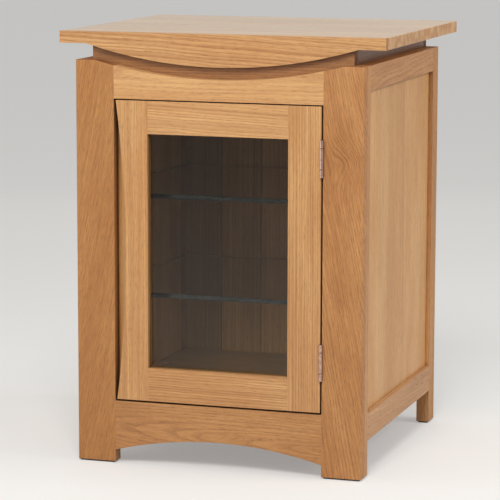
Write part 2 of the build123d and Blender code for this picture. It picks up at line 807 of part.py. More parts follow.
def hinges():
    """Lower and upper hinge, drilled for their screws"""
    frame_places, door_places = hinge_screw_places()
    frame_holes = screws_and_holes(hinge_screw, frame_places)[1]
    door_holes = screws_and_holes(hinge_screw, door_places)[1]
    pieces = {}
    for name, low in zip(("lower_hinge", "upper_hinge"), hinge_heights):
        frame_leaf, door_leaf, pin = hinge(low)
        pieces[name + "_frame_leaf"] = less(frame_leaf, frame_holes)
        pieces[name + "_door_leaf"] = less(door_leaf, door_holes)
        pieces[name + "_pin"] = pin
    return pieces


def catch():
    """Stop block behind the left stile with a round magnet, and the plate on the door that it holds"""
    x = (-opening_x - catch_block_grip, catch_x + catch_block_margin)
    z = (catch_height - catch_block_height / 2, catch_height + catch_block_height / 2)
    body = block(x, (frame_back_y, frame_back_y + catch_block_depth), z)
    face = (catch_x, frame_back_y, catch_height)
    sleeve = rod(face, (0, 1, 0), catch_sleeve_radius, catch_sleeve_length)
    flange = rod(face, (0, -1, 0), catch_flange_radius, catch_flange_thickness)
    flange_front = (catch_x, frame_back_y - catch_flange_thickness, catch_height)
    magnet = rod(flange_front, (0, 1, 0), catch_magnet_radius, catch_magnet_length)
    plate_thickness = frame_back_y - catch_flange_thickness - catch_working_gap - door_back_y
    plate_face = (catch_x, door_back_y + plate_thickness, catch_height)
    plate = rod(plate_face, (0, -1, 0), catch_flange_radius, plate_thickness)
    screws, holes = screws_and_holes(strike_screw, [(plate_face, (0, 1, 0))])
    return {
        "catch_block": body - sleeve,
        "catch_housing": sleeve + flange - magnet,
        "catch_magnet": magnet,
        "strike_plate": less(plate, holes),
        "strike_screw": screws[0],
    }, holes


def shelves():
    """Two glass shelves on sleeved pins"""
    pieces = {}
    for name, height in zip(("lower_shelf", "upper_shelf"), shelf_heights):
        pane = block((-shelf_x, shelf_x), (shelf_front_y, shelf_back_y), (height, height + shelf_thickness))
        pane = fillet(pane.edges().filter_by(Axis.Z), shelf_corner_radius)
        rims = pane.faces().sort_by(Axis.Z)[0].edges() + pane.faces().sort_by(Axis.Z)[-1].edges()
        pane = chamfer(rims, shelf_arris)
        pieces[name] = pane
    pins = []
    sleeves = []
    for x, y, z in shelf_pin_points():
        start = (x - shelf_pin_reach, y, z)
        pin = rod(start, (1, 0, 0), shelf_pin_radius, shelf_pin_reach + shelf_pin_depth)
        collar = rod((x, y, z), (-1, 0, 0), shelf_collar_radius, shelf_collar_thickness)
        sleeve_length = shelf_pin_reach - shelf_collar_thickness
        sleeve = rod(start, (1, 0, 0), shelf_pin_radius + shelf_sleeve_wall, sleeve_length)
        pins += both_sides(pin + collar)
        sleeves += both_sides(sleeve - pin)
    pieces["shelf_pins"] = Compound(pins)
    pieces["shelf_pin_sleeves"] = Compound(sleeves)
    return pieces


def cabinet():
    """Every node by name"""
    nodes = {}
    for make in (front_frame, side_frame, back_rail, back_boards, inside_floor, foot_pads, floating_top):
        nodes.update(make())
    for make in (door_frame, door_glass, glazing_beads, hinges, shelves):
        nodes.update(make())
    catch_nodes, strike_holes = catch()
    nodes.update(catch_nodes)
    nodes["door_pull_stile"] = less(nodes["door_pull_stile"], strike_holes)
    for name in ("door_pull_stile", "door_hinge_stile", "door_top_rail", "door_bottom_rail"):
        nodes[name] = less(nodes[name], bead_pins())
    return nodes


os.makedirs("parts", exist_ok=True)
for node_name, node in cabinet().items():
    export_step(node, "parts/" + node_name + ".step")
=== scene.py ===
import math

import bpy
from mathutils import Matrix, Vector


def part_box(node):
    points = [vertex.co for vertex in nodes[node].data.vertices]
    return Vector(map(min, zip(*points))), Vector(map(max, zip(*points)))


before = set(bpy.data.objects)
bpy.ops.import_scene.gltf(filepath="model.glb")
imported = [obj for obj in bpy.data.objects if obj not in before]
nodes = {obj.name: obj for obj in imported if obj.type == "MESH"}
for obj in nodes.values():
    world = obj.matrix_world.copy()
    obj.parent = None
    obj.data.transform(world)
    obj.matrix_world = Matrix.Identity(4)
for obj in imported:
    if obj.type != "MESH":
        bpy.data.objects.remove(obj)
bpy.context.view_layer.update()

# An oak media cabinet with a raised, curved-front top and one glazed door.
# The frame brings every solid. This script gives each board its timber, the door and the shelves their
# glass and the metalwork its finish, and sets the floor, the light and the camera.
# Lengths are in metres, X to the right, Y to the back and Z up.

MM = 0.001
AXES = "XYZ"


# Small helpers for node trees

def add(tree, kind, inputs=None, **settings):
    """A new node; inputs maps a socket's name or number to a value or to a socket that feeds it"""
    node = tree.nodes.new("ShaderNode" + kind)
    for name, value in settings.items():
        setattr(node, name, value)
    for key, value in (inputs or {}).items():
        feed(tree, node.inputs[key], value)
    return node


def feed(tree, socket, value):
    """Sets a socket to a value, or links it to the socket given"""
    if isinstance(value, bpy.types.NodeSocket):
        tree.links.new(value, socket)
    else:
        socket.default_value = value


def maths(tree, operation, a, b=0.0, clamp=False):
    """One step of arithmetic on numbers"""
    return add(tree, "Math", {0: a, 1: b}, operation=operation, use_clamp=clamp).outputs[0]


def plus(tree, total, *others):
    """Sum of numbers"""
    for other in others:
        total = maths(tree, "ADD", total, other)
    return total


def minus(tree, rest, *others):
    """What is left of a number"""
    for other in others:
        rest = maths(tree, "SUBTRACT", rest, other)
    return rest


def times(tree, product, *others):
    """Product of numbers"""
    for other in others:
        product = maths(tree, "MULTIPLY", product, other)
    return product


def vector(tree, operation, a, b=(0.0, 0.0, 0.0)):
    """One step of arithmetic on vectors"""
    return add(tree, "VectorMath", {0: a, 1: b}, operation=operation).outputs["Vector"]


def length(tree, value):
    """Length of a vector"""
    return add(tree, "VectorMath", {0: value}, operation="LENGTH").outputs["Value"]


def rise(tree, value, low, high):
    """0 below low and 1 above high, with a soft step between"""
    limits = {"Value": value, "From Min": low, "From Max": high}
    return add(tree, "MapRange", limits, interpolation_type="SMOOTHSTEP").outputs["Result"]


def mix(tree, share, first, second, mode="MIX"):
    """Colour between two colours"""
    node = add(tree, "Mix", data_type="RGBA", blend_type=mode, clamp_factor=True)
    feed(tree, node.inputs[0], share)
    feed(tree, node.inputs[6], first)
    feed(tree, node.inputs[7], second)
    return node.outputs[2]


def noise(tree, point, scale, detail):
    """Soft random value about 0.5"""
    return add(tree, "TexNoise", {"Vector": point, "Scale": scale, "Detail": detail}).outputs[0]


def group(name, inputs, outputs):
    """An empty node group with named sockets; returns its tree, its input node and its output node"""
    tree = bpy.data.node_groups.new(name, "ShaderNodeTree")
    for direction, sockets in (("INPUT", inputs), ("OUTPUT", outputs)):
        for label, kind, value in sockets:
            kind = "NodeSocket" + kind
            socket = tree.interface.new_socket(name=label, in_out=direction, socket_type=kind)
            if direction == "INPUT" and value is not None:
                socket.default_value = value
    return tree, tree.nodes.new("NodeGroupInput"), tree.nodes.new("NodeGroupOutput")


def place_group(tree, name, inputs):
    """A copy of a group in a material, with its own values"""
    node = tree.nodes.new("ShaderNodeGroup")
    node.node_tree = bpy.data.node_groups[name]
    for key, value in inputs.items():
        feed(tree, node.inputs[key], value)
    return node


def new_material(name):
    """A material with a Principled shader; returns it, its tree, the shader and the output"""
    material = bpy.data.materials.new(name)
    material.use_nodes = True
    tree = material.node_tree
    tree.nodes.clear()
    shader = add(tree, "BsdfPrincipled")
    out = add(tree, "OutputMaterial", {"Surface": shader.outputs[0]})
    return material, tree, shader, out


def dress(node_name, material):
    """Gives a node of the frame its material"""
    for slot in nodes[node_name].material_slots:
        slot.material = material


def rgb(red, green, blue):
    """Linear colour from the 0 to 255 values that a screen shows"""
    def linear(value):
        share = value / 255
        return share / 12.92 if share <= 0.04045 else ((share + 0.055) / 1.055) ** 2.4
    return linear(red), linear(green), linear(blue), 1.0


# Timber

# Painted light: a paler timber for the uppermost front boards, partly their own paler tone and partly
# the stronger light that falls on the upper part of the front
UPPER_LIT = {"Pale": rgb(227, 179, 121), "Warm": rgb(215, 161, 104), "Dark": rgb(155, 97, 50)}
HONEY = {"Pale": rgb(224, 175, 116), "Warm": rgb(212, 157, 99), "Dark": rgb(150, 92, 44)}
AMBER = {"Pale": rgb(205, 149, 90), "Warm": rgb(190, 131, 75), "Dark": rgb(130, 76, 34)}
GINGER = {"Pale": rgb(216, 159, 100), "Warm": rgb(200, 140, 82), "Dark": rgb(134, 79, 36)}
RUSSET = {"Pale": rgb(197, 139, 79), "Warm": rgb(188, 128, 69), "Dark": rgb(124, 70, 30)}
TAWNY = {"Pale": rgb(216, 164, 110), "Warm": rgb(202, 148, 96), "Dark": rgb(150, 98, 54)}
BEIGE = {"Pale": rgb(232, 184, 124), "Warm": rgb(218, 163, 102), "Dark": rgb(168, 110, 60)}
# Painted reflection: the top board's timber is made paler to stand in for the sheen of light reflected
# off its lacquer
TOP_SHEEN = {"Pale": rgb(252, 221, 175), "Warm": rgb(244, 206, 157), "Dark": rgb(184, 132, 84)}
# Painted shade: darker copies of the timber for the risers and the cabinet's floor, which lie in shade;
# the deepest for the risers' sides
SHADED = {"Pale": rgb(186, 134, 84), "Warm": rgb(168, 116, 68), "Dark": rgb(108, 66, 34)}
DEEP_SHADED = {"Pale": rgb(156, 110, 68), "Warm": rgb(138, 94, 56), "Dark": rgb(92, 56, 30)}
PORE_DIRT = (0.10, 0.045, 0.018, 1)
# Painted shade: the near-black brown laid into corners, gaps and under ledges, where shade falls
PAINTED_SHADE_COLOR = (0.03, 0.012, 0.005, 1)

# How often each part of the figure comes in a metre, across the grain and along it, and its detail
LONG_SWAY = (9, 1.8, 2.0)
SHORT_SWAY = (48, 8, 2.0)
COARSE_PORES = (620, 75, 1.0)
FINE_PORES = (1600, 130, 1.0)
LESSER_FIGURE = {
    "Fibres": (780, 34, 2.0),
    "Streaks": (190, 3.0, 4.0),
    "Mottle": (52, 17, 3.0),
    "Cloud": (14, 3.0, 2.0),
}

# Parts of one year's growth, from 0 to 1
SPRING_WOOD = (0.04, 0.62)
LAST_SUMMER_WOOD = (0.9, 1.0)


def make_board_space():
    """Moves a point from the cabinet into the log that the board was sawn from: Z runs up the trunk"""
    tree, given, out = group(
        "board_space",
        [("Point", "Vector", None), ("Centre", "Vector", (0, 0, 0)), ("Tilt", "Vector", (0, 0, 0)),
         ("Pith", "Vector", (0, 0, 0))],
        [("Point", "Vector", None)],
    )
    centred = vector(tree, "SUBTRACT", given.outputs["Point"], given.outputs["Centre"])
    turn = {"Vector": centred, "Rotation": given.outputs["Tilt"]}
    turned = add(tree, "Mapping", turn, vector_type="POINT").outputs[0]
    feed(tree, out.inputs["Point"], vector(tree, "ADD", turned, given.outputs["Pith"]))


def make_stave_split():
    """Cuts a wide board into glued staves, each from another log"""
    log_spread = (0.22, 0.16, 4.0)
    joint_width = 0.7 * MM
    tree, given, out = group(
        "stave_split",
        [("Point", "Vector", None), ("First Joint", "Float", 0.0), ("Stave Width", "Float", 0.1),
         ("Seed", "Float", 0.0)],
        [("Point", "Vector", None), ("Tone", "Float", None), ("Joint", "Float", None)],
    )
    point = given.outputs["Point"]
    stave_width = given.outputs["Stave Width"]
    across = add(tree, "SeparateXYZ", {0: point}).outputs["X"]
    steps = maths(tree, "DIVIDE", minus(tree, across, given.outputs["First Joint"]), stave_width)
    index = plus(tree, maths(tree, "FLOOR", steps), given.outputs["Seed"])
    chance = add(tree, "TexWhiteNoise", {"W": index}, noise_dimensions="1D")
    log_shift = vector(tree, "SUBTRACT", chance.outputs["Color"], (0.5, 0.5, 0.0))
    log_shift = vector(tree, "MULTIPLY", log_shift, log_spread)
    feed(tree, out.inputs["Point"], vector(tree, "ADD", point, log_shift))
    feed(tree, out.inputs["Tone"], chance.outputs["Value"])
    from_joint = maths(tree, "FRACT", steps)
    from_joint = maths(tree, "MINIMUM", from_joint, minus(tree, 1.0, from_joint))
    from_joint = times(tree, from_joint, stave_width)
    feed(tree, out.inputs["Joint"], minus(tree, 1.0, rise(tree, from_joint, 0.0, joint_width)))


def make_oak_figure():
    """Growth rings, pores and fibres of oak, from a point in its log"""
    far_off = (9, 9, 9)
    trunk_plane = (1, 1, 0)
    short_sway_share = 0.3
    knot_shape = (1, 1, 0.8)
    spells_per_year = 0.31
    spell_swing = 2.2
    faintest_year = 0.35
    knot_shade = (-0.6, 0.4)
    below_knot = -0.7
    above_knot = 1.9
    coarse_pore = (0.52, 0.66)
    fine_pore = (0.52, 0.68)
    fine_pore_depth = 0.6
    summer_pores = 0.35
    tree, given, out = group(
        "oak_figure",
        [("Point", "Vector", None), ("Ring Width", "Float", 3 * MM), ("Waver", "Float", 4 * MM),
         ("Knot", "Vector", far_off), ("Knot Size", "Float", 30 * MM), ("Knot Lift", "Float", 0.0)],
        [("Rings", "Float", None), ("Pores", "Float", None), ("Fibres", "Float", None),
         ("Streaks", "Float", None), ("Mottle", "Float", None), ("Cloud", "Float", None)],
    )
    point = given.outputs["Point"]

    def stretched(across, along, detail):
        """Noise drawn out along the grain"""
        return noise(tree, vector(tree, "MULTIPLY", point, (across, across, along)), 1.0, detail)

    # The rings lie round the pith and sway along the trunk
    radius = length(tree, vector(tree, "MULTIPLY", point, trunk_plane))
    long_sway = minus(tree, stretched(*LONG_SWAY), 0.5)
    short_sway = minus(tree, stretched(*SHORT_SWAY), 0.5)
    sway = plus(tree, long_sway, times(tree, short_sway, short_sway_share))
    radius = plus(tree, radius, times(tree, sway, given.outputs["Waver"], 2.0))

    # They bulge round a knot
    to_knot = vector(tree, "SUBTRACT", point, given.outputs["Knot"])
    away = length(tree, vector(tree, "MULTIPLY", to_knot, knot_shape))
    away = maths(tree, "DIVIDE", away, given.outputs["Knot Size"])
    swell = maths(tree, "EXPONENT", times(tree, away, away, -1.0))
    radius = plus(tree, radius, times(tree, swell, given.outputs["Knot Lift"]))

    # Years differ in width and in depth of colour
    years = maths(tree, "DIVIDE", radius, given.outputs["Ring Width"])
    spells = {"W": years, "Scale": spells_per_year, "Detail": 1.0}
    growth = add(tree, "TexNoise", spells, noise_dimensions="1D").outputs[0]
    years = plus(tree, years, times(tree, growth, spell_swing))
    season = maths(tree, "FRACT", years)
    spring = minus(tree, 1.0, rise(tree, season, *SPRING_WOOD))
    rings = maths(tree, "MAXIMUM", spring, rise(tree, season, *LAST_SUMMER_WOOD))
    year_tone = add(tree, "TexWhiteNoise", {"W": maths(tree, "FLOOR", years)}, noise_dimensions="1D")
    depth = times(tree, year_tone.outputs["Value"], 1.0 - faintest_year)
    depth = plus(tree, depth, faintest_year)

    # The rings are darker above a knot and paler below it
    climb = add(tree, "SeparateXYZ", {0: to_knot}).outputs["Z"]
    climb = maths(tree, "DIVIDE", climb, given.outputs["Knot Size"])
    shade = times(tree, rise(tree, climb, *knot_shade), above_knot - below_knot)
    shade = plus(tree, shade, below_knot)
    boost = plus(tree, 1.0, times(tree, swell, shade))
    feed(tree, out.inputs["Rings"], times(tree, rings, depth, boost))

    # Most pores are in the spring wood
    coarse = rise(tree, stretched(*COARSE_PORES), *coarse_pore)
    fine = rise(tree, stretched(*FINE_PORES), *fine_pore)
    pores = maths(tree, "MAXIMUM", coarse, times(tree, fine, fine_pore_depth))
    in_spring = plus(tree, times(tree, rings, 1.0 - summer_pores), summer_pores)
    feed(tree, out.inputs["Pores"], times(tree, pores, in_spring))
    for name, spacing in LESSER_FIGURE.items():
        feed(tree, out.inputs[name], stretched(*spacing))


def make_oak_finish():
    """Colour, roughness and relief of lacquered oak, from its figure"""
    tree, given, out = group(
        "oak_finish",
        [("Rings", "Float", 0), ("Pores", "Float", 0), ("Fibres", "Float", 0), ("Streaks", "Float", 0),
         ("Mottle", "Float", 0), ("Cloud", "Float", 0), ("Tone", "Float", 0.5), ("Joint", "Float", 0),
         ("End Grain", "Float", 0), ("Pale", "Color", (1, 1, 1, 1)), ("Warm", "Color", (1, 1, 1, 1)),
         ("Dark", "Color", (1, 1, 1, 1)), ("Ring Depth", "Float", 0.4), ("Streak Depth", "Float", 0.3),
         ("Pore Depth", "Float", 0.4), ("Fibre Depth", "Float", 0.2), ("Mottle Depth", "Float", 0.0),
         ("Tone Spread", "Float", 0.0), ("Sheen Roughness", "Float", 0.4)],
        [("Color", "Color", None), ("Roughness", "Float", None), ("Height", "Float", None)],
    )

    def part(name, amount, low=0.0):
        """A share of one part of the figure, whose contrast runs from low to 1 - low"""
        share = given.outputs[name]
        if low:
            share = rise(tree, share, low, 1.0 - low)
        return maths(tree, "MULTIPLY", share, amount, clamp=True)

    pale, warm, dark = (given.outputs[name] for name in ("Pale", "Warm", "Dark"))
    pore_color = mix(tree, 0.45, dark, PORE_DIRT)
    color = mix(tree, part("Cloud", 1.0, 0.32), pale, warm)
    color = mix(tree, part("Streaks", given.outputs["Streak Depth"], 0.3), color, dark)
    color = mix(tree, part("Rings", given.outputs["Ring Depth"]), color, dark)
    color = mix(tree, part("Mottle", given.outputs["Mottle Depth"], 0.3), color, dark)
    color = mix(tree, part("Fibres", given.outputs["Fibre Depth"], 0.28), color, dark)
    color = mix(tree, part("Pores", given.outputs["Pore Depth"]), color, pore_color)
    color = mix(tree, part("Joint", 0.3), color, pore_color)
    year_bands = plus(tree, part("Mottle", 0.55, 0.36), 0.4)
    color = mix(tree, times(tree, given.outputs["End Grain"], year_bands), color, dark)
    lift = times(tree, minus(tree, given.outputs["Tone"], 0.5), given.outputs["Tone Spread"])
    toned = add(tree, "HueSaturation", {"Value": plus(tree, 1.0, lift), "Color": color})
    feed(tree, out.inputs["Color"], toned.outputs["Color"])
    rough = plus(tree, given.outputs["Sheen Roughness"], part("Fibres", 0.06), part("Pores", 0.12))
    feed(tree, out.inputs["Roughness"], maths(tree, "ADD", rough, part("End Grain", 0.25), clamp=True))
    hollows = part("Pores", 0.75), part("Rings", 0.12), part("Joint", 0.5)
    feed(tree, out.inputs["Height"], minus(tree, part("Fibres", 0.25), *hollows))


make_board_space()
make_stave_split()
make_oak_figure()
make_oak_finish()

SAWN_FACE = {"X": "ZY", "Y": "ZX", "Z": "XY"}


def point_in_log(tree, place, node_name, order, pith, tilt):
    """Where a point of a board lay in its log; order names the cabinet's axes, the trunk's own last"""
    low, high = (Vector(corner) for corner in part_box(node_name))
    middle = (low + high) / 2
    parts = add(tree, "SeparateXYZ", {0: place})
    reordered = add(tree, "CombineXYZ", {i: parts.outputs[axis] for i, axis in enumerate(order)})
    placed = place_group(tree, "board_space", {
        "Point": reordered.outputs[0], "Centre": tuple(middle[AXES.index(axis)] for axis in order),
        "Tilt": (*tilt, 0.0), "Pith": (*pith, 0.0),
    })
    return placed.outputs["Point"]


def painted_corner_shade(tree):
    """How much painted shade a point gets: most in deep corners, some where a ledge or lip shelters it
    from above
    """
    corner_reach = 14 * MM
    ledge_reach = 10 * MM
    lean_up = (0, 0, 0.9)
    most, some = 0.92, 0.6
    all_round = add(tree, "AmbientOcclusion", {"Distance": corner_reach}, samples=4)
    crevice = minus(tree, 1.0, all_round.outputs["AO"])
    upward = vector(tree, "ADD", add(tree, "NewGeometry").outputs["Normal"], lean_up)
    upward = vector(tree, "NORMALIZE", upward)
    from_above = add(tree, "AmbientOcclusion", {"Distance": ledge_reach, "Normal": upward}, samples=8)
    sheltered = minus(tree, 1.0, from_above.outputs["AO"])
    deep = times(tree, rise(tree, crevice, 0.6, 0.98), most)
    slight = times(tree, rise(tree, sheltered, 0.4, 0.72), some)
    return maths(tree, "MAXIMUM", deep, slight)


def oak(node_name, along, timber, across=None, pith=(0.02, 0.07), tilt=(0.0, 0.0), ring=3.2 * MM,
        waver=4 * MM, rings=0.45, streaks=0.35, pores=0.45, fibres=0.2, mottle=0.0, staves=None,
        spread=0.0, knot=None, sheen=0.42, coat=0.25):
    """Oak for one board: the way its grain runs, how it was sawn and how strongly its figure shows

    pith is where the board's middle lies in its log, tilt how far it is off the trunk in radians, ring
    the width of a year and waver how far the rings sway. rings, streaks, pores, fibres, mottle and coat
    run from 0 to 1. spread is how much the staves differ in tone.
    """
    edge_radius = 0.8 * MM
    grain_depth = 0.15 * MM
    material, tree, shader, _ = new_material("oak_" + node_name)
    coords = add(tree, "TexCoord")
    order = (across or SAWN_FACE[along]) + along
    point = point_in_log(tree, coords.outputs["Object"], node_name, order, pith, tilt)
    tone = 0.5
    joint = 0.0
    if staves:
        cut = place_group(tree, "stave_split", {
            "Point": point, "First Joint": staves["first"] + pith[0], "Stave Width": staves["width"],
            "Seed": staves["seed"],
        })
        point, tone, joint = cut.outputs["Point"], cut.outputs["Tone"], cut.outputs["Joint"]
    grown = {"Point": point, "Ring Width": ring, "Waver": waver}
    if knot:
        grown.update({"Knot": knot["spot"], "Knot Size": knot["size"], "Knot Lift": knot["lift"]})
    figure = place_group(tree, "oak_figure", grown)
    facing = add(tree, "SeparateXYZ", {0: coords.outputs["Normal"]}).outputs[AXES.index(along)]
    end_grain = rise(tree, maths(tree, "ABSOLUTE", facing), 0.75, 0.95)
    finish = place_group(tree, "oak_finish", {
        **{name: figure.outputs[name] for name in ("Rings", "Pores", *LESSER_FIGURE)}, **timber,
        "Tone": tone, "Joint": joint, "End Grain": end_grain, "Ring Depth": rings,
        "Streak Depth": streaks, "Pore Depth": pores, "Fibre Depth": fibres, "Mottle Depth": mottle,
        "Tone Spread": spread, "Sheen Roughness": sheen,
    })
    # Painted shade: deep corners, gaps and faces sheltered by a ledge are darkened towards near-black
    # brown, made rougher and left without coat
    painted_shade = painted_corner_shade(tree)
    feed(tree, shader.inputs["Base Color"], mix(tree, painted_shade, finish.outputs["Color"], PAINTED_SHADE_COLOR))
    feed(tree, shader.inputs["Roughness"], maths(tree, "MAXIMUM", finish.outputs["Roughness"], painted_shade))
    if coat:
        bare = maths(tree, "MAXIMUM", times(tree, end_grain, 0.85), painted_shade)
        feed(tree, shader.inputs["Coat Weight"], times(tree, minus(tree, 1.0, bare), coat))
        shader.inputs["Coat Roughness"].default_value = 0.22
    eased = add(tree, "Bevel", {"Radius": edge_radius}, samples=4)
    relief = add(tree, "Bump", {
        "Height": finish.outputs["Height"], "Strength": 0.35, "Distance": grain_depth,
        "Normal": eased.outputs[0],
    })
    feed(tree, shader.inputs["Normal"], relief.outputs[0])
    dress(node_name, material)


def leg_timber():
    """Front stiles, side stiles and rear legs"""
    oak("front_stile_left", "Z", RUSSET, pith=(0.10, 0.03), tilt=(0.012, -0.19), rings=0.08,
        streaks=0.2, pores=0.4, fibres=0.38, sheen=0.5, coat=0.1)
    oak("front_stile_right", "Z", GINGER, pith=(0.12, 0.03), tilt=(0.04, 0.2), ring=5 * MM,
        waver=14 * MM, rings=0.42, streaks=0.2, pores=0.4, fibres=0.32, mottle=0.2,
        knot=dict(spot=(0.17, 0.011, 0.186), size=0.028, lift=-0.027), sheen=0.55, coat=0.0)
    for side, x in (("left", -1), ("right", 1)):
        oak("side_stile_" + side, "Z", TAWNY, across="YX", pith=(0.03 * x, 0.05), rings=0.15,
            streaks=0.15, fibres=0.3, sheen=0.55, coat=0.0)
        oak("rear_leg_" + side, "Z", TAWNY, across="YX", pith=(0.04 * x, 0.06), tilt=(0.01, 0.01),
            rings=0.2, fibres=0.3, sheen=0.6, coat=0.0)


def side_and_back_timber():
    """Rails and panels of the sides, and the back"""
    for side, x in (("left", -1), ("right", 1)):
        oak("side_top_rail_" + side, "Y", GINGER, pith=(0.05, 0.02 * x), tilt=(0.03, -0.03),
            ring=7 * MM, waver=12 * MM, rings=0.3, streaks=0.25, pores=0.3, fibres=0.25, sheen=0.5,
            coat=0.1)
        oak("side_bottom_rail_" + side, "Y", TAWNY, pith=(-0.03, 0.05 * x), tilt=(0.015, 0.02),
            rings=0.2, fibres=0.3, sheen=0.5, coat=0.1)
        oak("side_panel_" + side, "Z", BEIGE, across="YX", pith=(0.0, 0.06), tilt=(0.02, 0.01),
            ring=5 * MM, rings=0.12, streaks=0.2, pores=0.25, fibres=0.34,
            staves=dict(width=0.174, first=-0.127, seed=3 + x), spread=0.1, sheen=0.5, coat=0.1)
    oak("back_bottom_rail", "X", AMBER, pith=(0.04, 0.05))
    oak("back_boards", "Z", TAWNY, pith=(0.0, 0.06),
        staves=dict(width=81.333 * MM, first=0.0, seed=44), spread=0.8)


def front_timber():
    """The two rails between the front legs"""
    oak("front_top_rail", "X", UPPER_LIT, pith=(-0.02, 0.05), tilt=(0.02, -0.03), ring=5 * MM,
        waver=7 * MM, rings=0.24, streaks=0.2, pores=0.35, fibres=0.2)
    oak("front_bottom_rail", "X", AMBER, pith=(0.01, 0.03), tilt=(0.07, 0.05), ring=5 * MM,
        waver=4 * MM, rings=0.34, streaks=0.25, pores=0.4, fibres=0.25)


def top_timber():
    """The raised top with its curved fascia, and the risers that carry it"""
    # The top board's pale timber is painted reflection of the sheen on its lacquer
    oak("top_board", "X", TOP_SHEEN, across="YZ", pith=(0.25, 0.03), tilt=(0.01, 0.01), rings=0.55,
        streaks=0.45, pores=0.4, fibres=0.3, staves=dict(width=0.098, first=-0.205, seed=11),
        spread=0.12, sheen=0.3, coat=0.8)
    oak("top_fascia", "X", UPPER_LIT, pith=(0.07, 0.05), tilt=(0.0, 0.055), ring=5.4 * MM,
        waver=10 * MM, rings=0.5, streaks=0.5, pores=0.4, fibres=0.3)
    # The risers take darkened timber: painted shade for the shadow under the overhanging top, deepest
    # on their sides
    oak("riser_front", "X", SHADED, pith=(0.06, 0.04), ring=4 * MM)
    oak("riser_rear", "X", SHADED, pith=(0.06, 0.04))
    for side in ("left", "right"):
        oak("riser_" + side, "Y", DEEP_SHADED, pith=(0.04, 0.03))


def inside_timber():
    """The floor of the cabinet, its cleats and the block of the catch"""
    oak("bottom_board", "X", SHADED, across="YZ", pith=(0.0, 0.06),
        staves=dict(width=0.11, first=0.02, seed=7), spread=0.15)
    oak("catch_block", "Z", AMBER)
    for side in ("left", "right"):
        oak("floor_cleat_" + side, "Y", AMBER)


def door_timber():
    """Frame of the door and the beads that hold its glass"""
    oak("door_pull_stile", "Z", HONEY, pith=(0.09, 0.02), tilt=(0.004, 0.006), rings=0.3, pores=0.4,
        fibres=0.25)
    oak("door_hinge_stile", "Z", HONEY, pith=(0.05, 0.015), tilt=(0.003, 0.005), ring=5 * MM,
        streaks=0.45, pores=0.35, fibres=0.25)
    oak("door_top_rail", "X", UPPER_LIT, pith=(0.06, 0.04), tilt=(0.0, 0.045), ring=5 * MM,
        waver=9 * MM, pores=0.35, fibres=0.25)
    oak("door_bottom_rail", "X", HONEY, pith=(-0.05, 0.03), ring=4.6 * MM, waver=7 * MM, rings=0.52,
        pores=0.35, fibres=0.3)
    for side in ("left", "right"):
        oak("glazing_bead_" + side, "Z", HONEY)
    for side in ("top", "bottom"):
        oak("glazing_bead_" + side, "X", HONEY)


leg_timber()
side_and_back_timber()
front_timber()
top_timber()
inside_timber()
door_timber()


# Glass

def make_glass_wear():
    """Faint wipe marks and specks on glass, and the slow ripple of its faces"""
    tree, given, out = group(
        "glass_wear", [("Point", "Vector", None), ("Smear", "Float", 0.02)],
        [("Roughness", "Float", None), ("Height", "Float", None)],
    )
    wipes_per_metre = (14, 14, 5)
    specks_per_metre = 900.0
    ripples_per_metre = 9.0
    speck_roughness = 0.05
    point = given.outputs["Point"]
    wipes = noise(tree, vector(tree, "MULTIPLY", point, wipes_per_metre), 1.0, 4.0)
    smears = times(tree, rise(tree, wipes, 0.35, 0.75), given.outputs["Smear"])
    specks = rise(tree, noise(tree, point, specks_per_metre, 1.0), 0.72, 0.8)
    rough = plus(tree, smears, times(tree, specks, speck_roughness))
    feed(tree, out.inputs["Roughness"], rough)
    feed(tree, out.inputs["Height"], noise(tree, point, ripples_per_metre, 2.0))


make_glass_wear()


def clear_glass(name, thin_axis, face_color, edge_color, ior):
    """Clear float glass, greener where it is seen through its edge, that lets the lamps through"""
    material, tree, shader, out = new_material(name)
    coords = add(tree, "TexCoord")
    wear = place_group(tree, "glass_wear", {"Point": coords.outputs["Object"]})
    facing = add(tree, "SeparateXYZ", {0: coords.outputs["Normal"]}).outputs[AXES.index(thin_axis)]
    on_edge = minus(tree, 1.0, rise(tree, maths(tree, "ABSOLUTE", facing), 0.5, 0.9))
    tint = mix(tree, on_edge, face_color, edge_color)
    feed(tree, shader.inputs["Base Color"], tint)
    feed(tree, shader.inputs["Roughness"], wear.outputs["Roughness"])
    ripple = add(tree, "Bump", {
        "Height": wear.outputs["Height"], "Strength": 0.05, "Distance": 0.4 * MM,
    })
    feed(tree, shader.inputs["Normal"], ripple.outputs[0])
    shader.inputs["Transmission Weight"].default_value = 1.0
    shader.inputs["IOR"].default_value = ior
    through = add(tree, "BsdfTransparent", {"Color": tint})
    path = add(tree, "LightPath")
    lets_light = maths(tree, "MAXIMUM", path.outputs["Is Shadow Ray"], path.outputs["Is Diffuse Ray"])
    both = add(tree, "MixShader", {0: lets_light, 1: shader.outputs[0], 2: through.outputs[0]})
    feed(tree, out.inputs["Surface"], both.outputs[0])
    return material


door_pane = clear_glass("door_pane", thin_axis="Y", face_color=(0.85, 0.865, 0.825, 1),
                        edge_color=(0.4, 0.46, 0.4, 1), ior=1.3)
shelf_pane = clear_glass("shelf_pane", thin_axis="Z", face_color=(0.86, 0.9, 0.87, 1),
                         edge_color=(0.26, 0.29, 0.2, 1), ior=1.5)
dress("door_glass", door_pane)
dress("upper_shelf", shelf_pane)
dress("lower_shelf", shelf_pane)


# Metal, rubber and plastic

TARNISH = (0.3, 0.27, 0.24, 1)
DUST = (0.6, 0.56, 0.5, 1)


